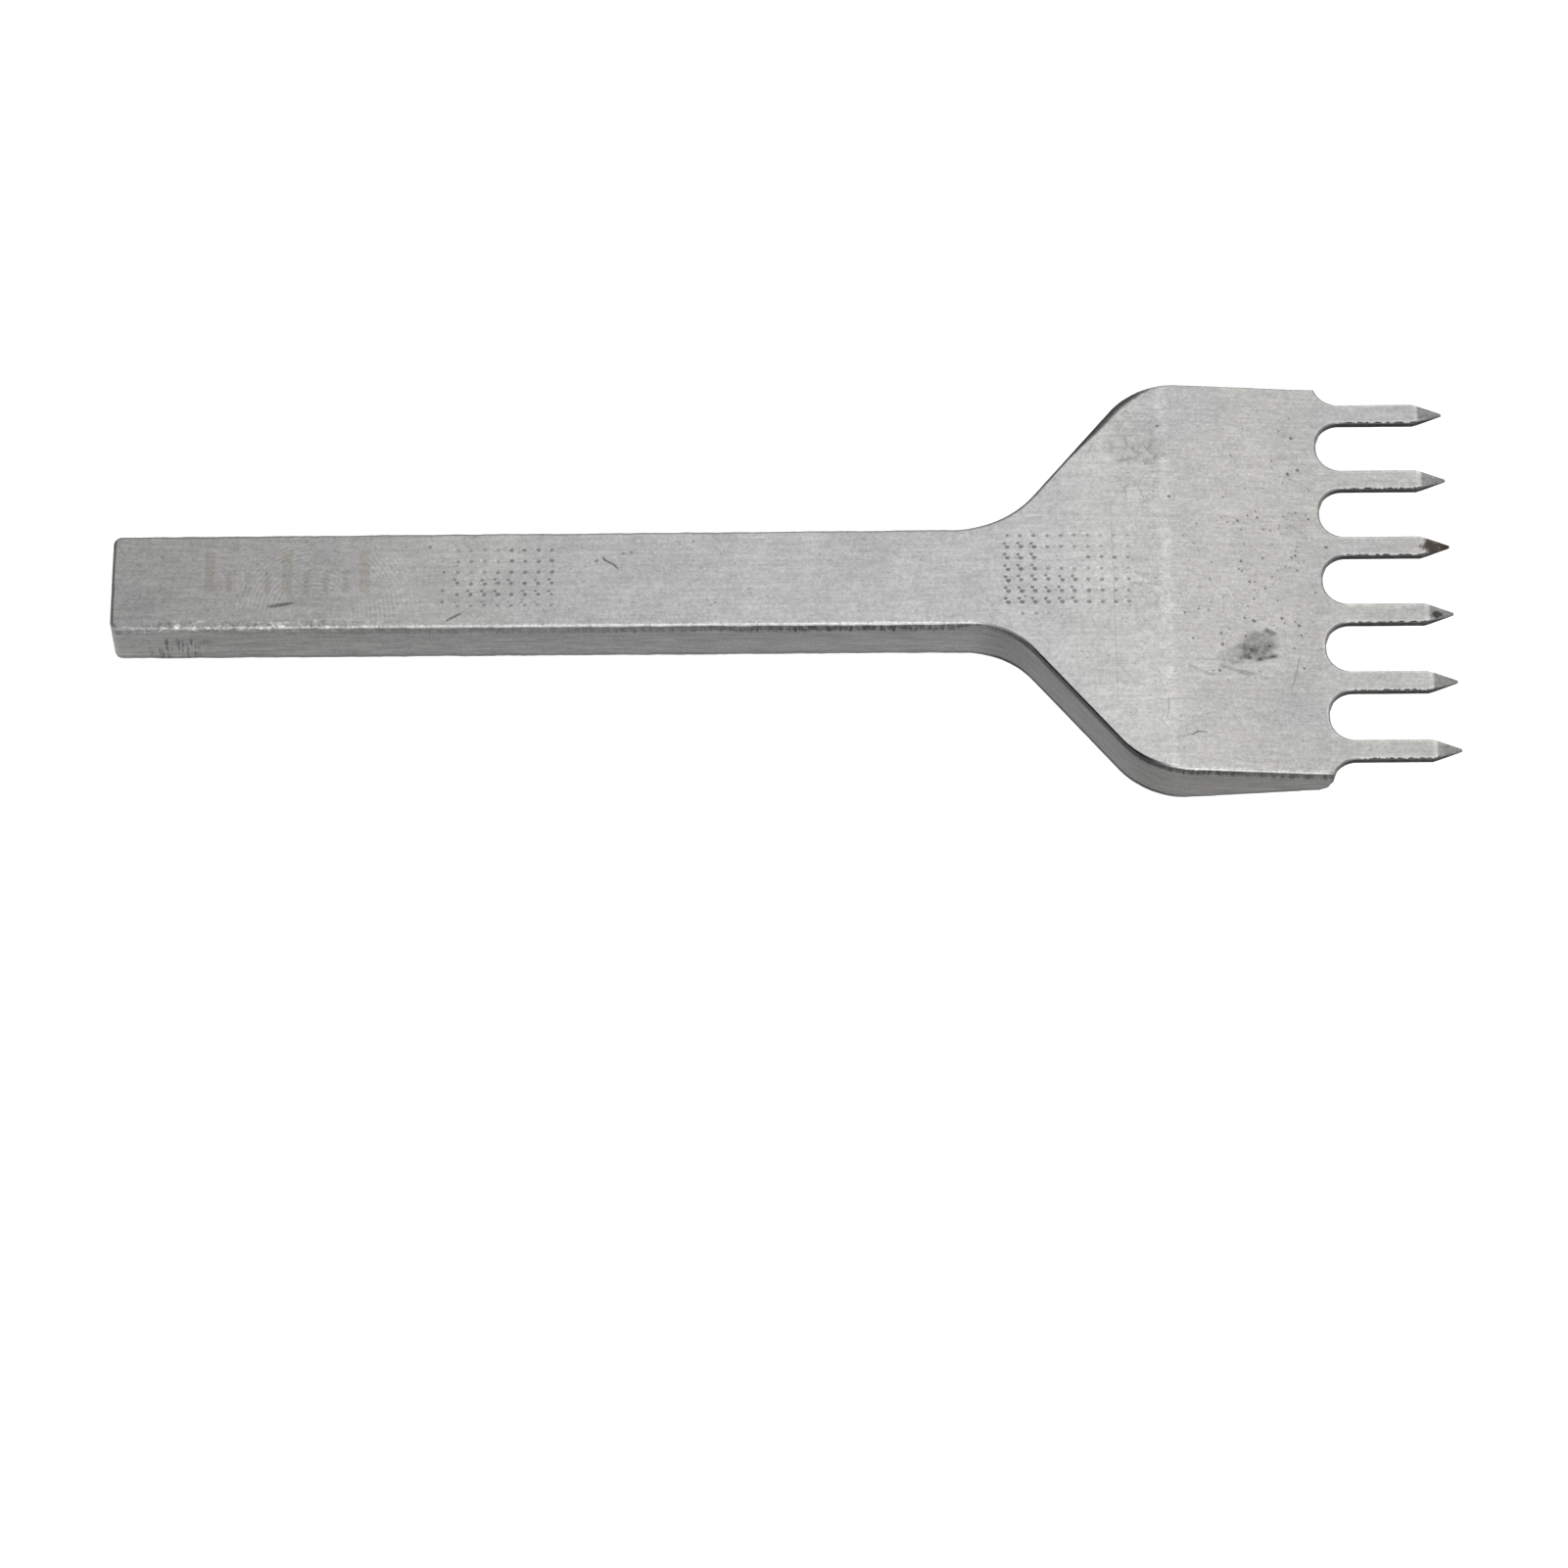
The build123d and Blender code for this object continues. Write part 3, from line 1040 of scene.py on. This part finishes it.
def tooth_tone(n, tone):
    """The teeth: painted shade on their sides, a painted highlight along their front edges with dark bites
    in one edge, painted shade along the gullets' floors and on the sloping points.
    """
    # Painted shade on the teeth's sides.
    tooth_side_shade = n.teeth * n.wall * n.fade(n.below, -0.02, 0.04)
    tone *= 1 - 0.84 * tooth_side_shade * n.fade(n.jag, 0.3, 0.6, 0.9, 1.08)
    # Painted highlight along the teeth's front edges.
    tone *= 1 + 0.16 * n.teeth * n.front * n.fade(n.below, -0.3, -0.16)
    # Painted shade along the gullets' floors.
    gullet_floor_shade = n.span(n.x, gullet_x - 0.3, gullet_x - 0.1, root_x - 0.8, root_x) * n.front
    tone *= 1 - 0.5 * gullet_floor_shade * n.fade(n.below, -0.17, -0.08)
    bites = n.fade(n.noise((1.8, 0.5, 0.0), 3.0, 0.65), 0.38, 0.62)
    bitten = n.fade(n.below + 0.13 * bites, -0.01, 0.03) * n.front * n.cut_down
    tone *= 1 - 0.93 * bitten * n.span(n.x, root_x - 0.8, root_x + 0.6, facet_x - 0.1, facet_x + 0.3)
    tone *= 1 - 0.05 * n.teeth
    # Painted shade: the points' sloping facets darker, more so towards the tips.
    facet = n.fade(n.x, facet_x - 0.05, facet_x + 0.12) * n.front
    tone *= 1 + FACET_PAINTED_SHADE * facet
    tone *= 1 - 0.25 * facet * n.fade(n.x, facet_x, tip_x - 0.3)
    tone *= 1 + 0.2 * facet * n.fade(n.mottle, 0.4, 0.6)
    # Painted highlight just before the points' crease.
    crease_highlight = n.span(n.x, facet_x - 0.5, facet_x - 0.25, facet_x - 0.1, facet_x) * n.front
    return tone * (1 + 0.14 * crease_highlight)


def smudge(n):
    """A greasy thumb mark by the fourth gullet, with a darker hook and lower rim."""
    grease = (
        0.4 * n.spot(88.6, -6.0, 2.3, 1.6, 0.3, 1.0, 0.5, 1.0)
        + 0.2 * n.spot(89.0, -6.5, 1.3, 1.0, 0.2, 0.9, 0.5, 1.2)
        + 0.3 * n.spot(86.8, -6.9, 1.9, 0.9, 0.4, 0.9, 0.5, 1.0)
        + 0.22 * n.stroke((86.9, -7.1), (89.0, -7.4), 0.45, 1.0)
        + 0.28 * n.stroke((88.2, -7.4), (90.1, -7.0), 0.45, 0.8)
        + 0.18 * n.spot(89.85, -7.0, 0.4, 0.3, 0.0, 0.8, 0.3, 1.5)
        + 0.16 * n.stroke((88.4, -5.3), (89.4, -4.6), 0.4, 0.8)
        + 0.36 * n.stroke((89.0, -4.55), (90.0, -5.1), 0.5, 0.8)
    )
    return grease * n.fade(n.noise(1.6, 4.0, 0.7), 0.3, 0.65, 0.6, 1.15)


# Scratches on the front: strength, start, end, width and wobble.
SCRATCHES = [
    (0.15, (77.55, -12.6), (77.5, 8.6), 0.16, 0.1),
    (0.26, (85.3, -7.9), (88.1, -8.75), 0.45, 0.5),
    (0.14, (86.9, -8.2), (89.6, -9.0), 0.22, 0.5),
    (0.18, (82.9, -8.0), (85.2, -8.95), 0.35, 0.5),
    (0.14, (85.75, -4.4), (85.75, -6.2), 0.2, 0.3),
    (0.24, (91.8, -6.7), (90.9, -9.9), 0.18, 0.3),
    (0.1, (90.95, -9.6), (90.75, -11.2), 0.12, 0.3),
    (0.22, (81.8, -14.4), (83.2, -14.05), 0.24, 0.3),
    (0.24, (81.5, -10.6), (81.25, -12.9), 0.16, 0.4),
    (0.18, (66.5, 0.35), (68.9, 0.4), 0.13, 0.0),
    (0.12, (66.6, -0.2), (68.7, -3.6), 0.12, 0.0),
    (0.24, (77.9, 10.1), (80.0, 10.5), 0.45, 0.6),
    (0.22, (75.9, 10.8), (76.3, 11.9), 0.25, 0.3),
    (0.22, (0.3, 3.5), (1.1, 2.2), 0.16, 0.2),
    (0.12, (1.2, -1.6), (5.2, -1.5), 0.16, 0.3),
    (0.12, (84.6, -5.4), (85.9, -6.0), 0.14, 0.2),
]

# Stains on the front: strength, and then what Nodes.spot takes.
STAINS = [
    (0.16, 79.6, 12.1, 2.6, 3.2, 0.4, 1.0, 0.6, 0.8),
    (0.08, 79.2, 8.2, 2.2, 1.2, 0.1, 0.9, 0.6, 1.2),
    (0.07, 80.2, 2.6, 1.6, 3.2, 0.0, 1.0, 0.7, 0.9),
    (0.05, 79.8, -3.0, 1.6, 3.0, 0.0, 1.0, 0.7, 0.9),
    (0.08, 83.0, -4.4, 1.3, 1.3, 0.0, 1.0, 0.5, 1.0),
    (0.1, 92.0, 4.4, 1.4, 2.4, 0.3, 1.0, 0.5, 0.8),
    (0.05, 84.5, -13.3, 2.6, 1.3, 0.2, 1.0, 0.6, 1.0),
    (0.07, 2.8, -1.9, 3.2, 2.2, 0.0, 1.0, 0.4, 0.5),
]


def blemishes(n):
    """Fine scratches, a scribed line, worn stains, and squiggles etched by rust along the ridge."""
    scratched = sum(strength * n.stroke(*line_shape) for strength, *line_shape in SCRATCHES)
    stained = sum(strength * n.spot(*stain) for strength, *stain in STAINS)
    worn = n.fade(n.noise(1.7, 4.0, 0.7), 0.38, 0.64, 0.3, 1.7)

    squiggle = n.fade(abs(n.noise(0.85, 3.0, 0.6) - 0.5), 0.035, 0.01)
    along_ridge = n.span(n.x, ridge_x - 4.5, ridge_x - 2.5, ridge_x - 1.0, ridge_x - 0.2)
    broken = n.fade(n.y, -12.0, 8.0, 0.3, 1.0) * n.fade(n.patchy, 0.42, 0.6)
    return scratched + stained * worn + 0.3 * squiggle * along_ridge * broken


def etched_scale(n):
    """A plain etched scale near the struck end: tall ticks one tooth pitch apart, short ones between."""
    along = n.along - SCALE_PLACE[0]
    low = n.y - SCALE_PLACE[1]

    def ticks(spacing, width, height, count):
        nearest = n.math("PINGPONG", along, spacing / 2)
        row_end = spacing * count + width
        inside_row = n.span(along, -width, 0.1 - width, row_end - 0.1, row_end)
        upright = n.span(low, -0.05, 0.05, height - 0.05, height + 0.05)
        return n.fade(nearest, width / 2 + 0.06, width / 2 - 0.06) * inside_row * upright

    tall = ticks(pitch, width=0.8, height=3.7, count=2)
    short = ticks(pitch / 4, width=0.45, height=1.9, count=8)
    return n.largest(tall, short) * n.fade(n.mottle, 0.3, 0.62, 0.45, 1.0) * n.front


def swirl(n):
    """Fine rings left by a grinding wheel, round a place near the struck end."""
    from_x, from_y = n.along - RINGS_CENTRE[0], n.y - RINGS_CENTRE[1]
    distance = n.math("SQRT", from_x * from_x + from_y * from_y)
    wave = n.math("SINE", (distance + 1.5 * n.cloud) * (math.tau / RINGS_SPACING))
    here = n.fade(distance, 9.5, 5.5) * n.fade(distance, 0.8, 2.2) * n.fade(n.patchy, 0.4, 0.6)
    return wave * here * n.front


def steel_tint(n, etched):
    """Steel's colour: a little warmer in clouds at both ends, brown where etched or stained."""
    far_from_middle = n.largest(n.fade(n.x, flare_x, ridge_x + 7.0), n.fade(n.x, 0.0, butt_x, 0.0, 0.7))
    warm = n.fade(n.cloud, 0.3, 0.55) * (far_from_middle + 0.15)
    tint = n.mix(etched, n.mix(warm, COOL_STEEL, WARM_STEEL), ETCHED_TINT)
    tip = tip_x - butt_x
    stained_tips = n.largest(
        n.spot(tip - 0.8, tooth_rows[2], 1.7, 0.9, 0.0, 0.9, 0.6, 2.2),
        n.spot(tip - 1.75, tooth_rows[2] + 0.05, 0.4, 0.3, 0.0, 0.6, 0.5, 2.4),
        n.spot(tip - 1.35, tooth_rows[3] - 0.15, 0.6, 0.38, 0.0, 0.8, 0.7, 2.2),
    )
    return n.mix(0.92 * stained_tips, tint, STAIN_TINT)


def steel(name):
    """Satin ground steel with painted light and shade; where it is on the tool decides its tone, so the
    pieces match.
    """
    n = start_steel(name)
    tone = face_tone(n) * n.face + side_shade_and_streaks(n) * n.wall
    tone = tooth_tone(n, edge_wear_and_painted_light(n, tone))
    rings = swirl(n)
    etched = etched_scale(n)
    tone *= 1 - n.front * (smudge(n) + blemishes(n))
    # Painted shade in the dents and scratches, darker the deeper, and a painted highlight on their raised
    # burrs.
    tone *= 1 - 0.46 * n.fade(n.pressed, -0.004, -0.028)
    tone *= 1 + 0.42 * n.fade(n.pressed, 0.002, 0.01)
    tone *= (1 + 0.09 * rings) * (1 - 0.12 * etched)
    colour = n.add("ShaderNodeVectorMath", {0: steel_tint(n, etched), "Scale": tone}, operation="SCALE")
    relief = (
        0.016 * n.mottle
        + 0.007 * n.speck
        + 0.004 * n.grain
        + 0.012 * n.wall * (n.side_grain + n.jag)
        + 0.0012 * rings
    )
    bump = n.add("ShaderNodeBump", {"Strength": 0.7, "Distance": MM, "Height": relief})
    n.set(n.shader.inputs["Base Color"], colour)
    n.set(n.shader.inputs["Metallic"], 1.0)
    n.set(n.shader.inputs["Roughness"], n.fade(n.mottle, 0.2, 0.8, 0.34, 0.46) + 0.06 * n.wall)
    n.set(n.shader.inputs["Normal"], bump)
    return n.material


steel_with_painted_light = steel("brushed_steel")
for index, piece_name in enumerate(PIECES):
    made_piece = make_piece(index, steel_with_painted_light)


# ---- Floor, light and camera ----


def make_floor():
    """A plain pale floor under the tool."""
    half = 2.5
    mesh = bpy.data.meshes.new("floor")
    corners = [(-half, -half, 0), (half, -half, 0), (half, half, 0), (-half, half, 0)]
    mesh.from_pydata(corners, [], [(0, 1, 2, 3)])
    n = Nodes("floor")
    n.set(n.shader.inputs["Base Color"], (0.85, 0.85, 0.85, 1))
    n.set(n.shader.inputs["Roughness"], 0.9)
    n.set(n.shader.inputs["Emission Color"], (1, 1, 1, 1))
    n.set(n.shader.inputs["Emission Strength"], 0.7)
    mesh.materials.append(n.material)
    add_object("floor", mesh)


def make_light(name, place, size, power):
    """A square soft light that faces the tool's origin."""
    data = bpy.data.lights.new(name, "AREA")
    data.shape = "SQUARE"
    data.size = size
    data.energy = power
    light = add_object(name, data)
    light.location = place
    light.rotation_euler = (-Vector(place)).to_track_quat("-Z", "Y").to_euler()


def make_world():
    """White studio walls, dimmer towards the ceiling."""
    world = bpy.data.worlds.new("studio")
    world.use_nodes = True
    tree = world.node_tree
    background = tree.nodes["Background"]
    background.inputs["Color"].default_value = (1, 1, 1, 1)
    direction = tree.nodes.new("ShaderNodeTexCoord")
    parts = tree.nodes.new("ShaderNodeSeparateXYZ")
    dimmer = tree.nodes.new("ShaderNodeMapRange")
    dimmer.interpolation_type = "SMOOTHSTEP"
    for socket, value in zip(dimmer.inputs[1:5], (0.0, 0.6, 1.0, 0.4)):
        socket.default_value = value
    tree.links.new(direction.outputs["Generated"], parts.inputs[0])
    tree.links.new(parts.outputs["Z"], dimmer.inputs[0])
    tree.links.new(dimmer.outputs[0], background.inputs["Strength"])
    bpy.context.scene.world = world


def make_camera():
    """A long lens that looks down at the tool from its side, the row of teeth to the right."""
    target = Vector((0.011, -15.525, 0.0)) * MM
    distance = 0.49818
    elevation, roll, turn = math.radians(61.742), math.radians(-0.3818), math.radians(-0.0898)
    heading = Matrix.Rotation(turn, 3, "Z")
    forward = heading @ Vector((0, math.cos(elevation), -math.sin(elevation)))
    level_up = heading @ Vector((0, math.sin(elevation), math.cos(elevation)))
    level_right = heading @ Vector((1, 0, 0))
    right = level_right * math.cos(roll) + level_up * math.sin(roll)
    up = level_up * math.cos(roll) - level_right * math.sin(roll)
    data = bpy.data.cameras.new("camera")
    data.sensor_width = 36.0
    data.lens = 148.74
    camera = add_object("camera", data)
    camera.matrix_world = Matrix.Translation(target - distance * forward) @ Matrix(
        (right, up, -forward)
    ).transposed().to_4x4()
    bpy.context.scene.camera = camera


make_floor()
make_light("overhead", (0.05, 0.5, 0.95), size=0.9, power=2.2)
make_light("top", (0.0, -0.3, 1.0), size=0.6, power=1.1)
make_light("front", (0.0, -0.75, 0.4), size=0.4, power=1.1)
make_world()
make_camera()
bpy.context.scene.view_settings.view_transform = "Standard"
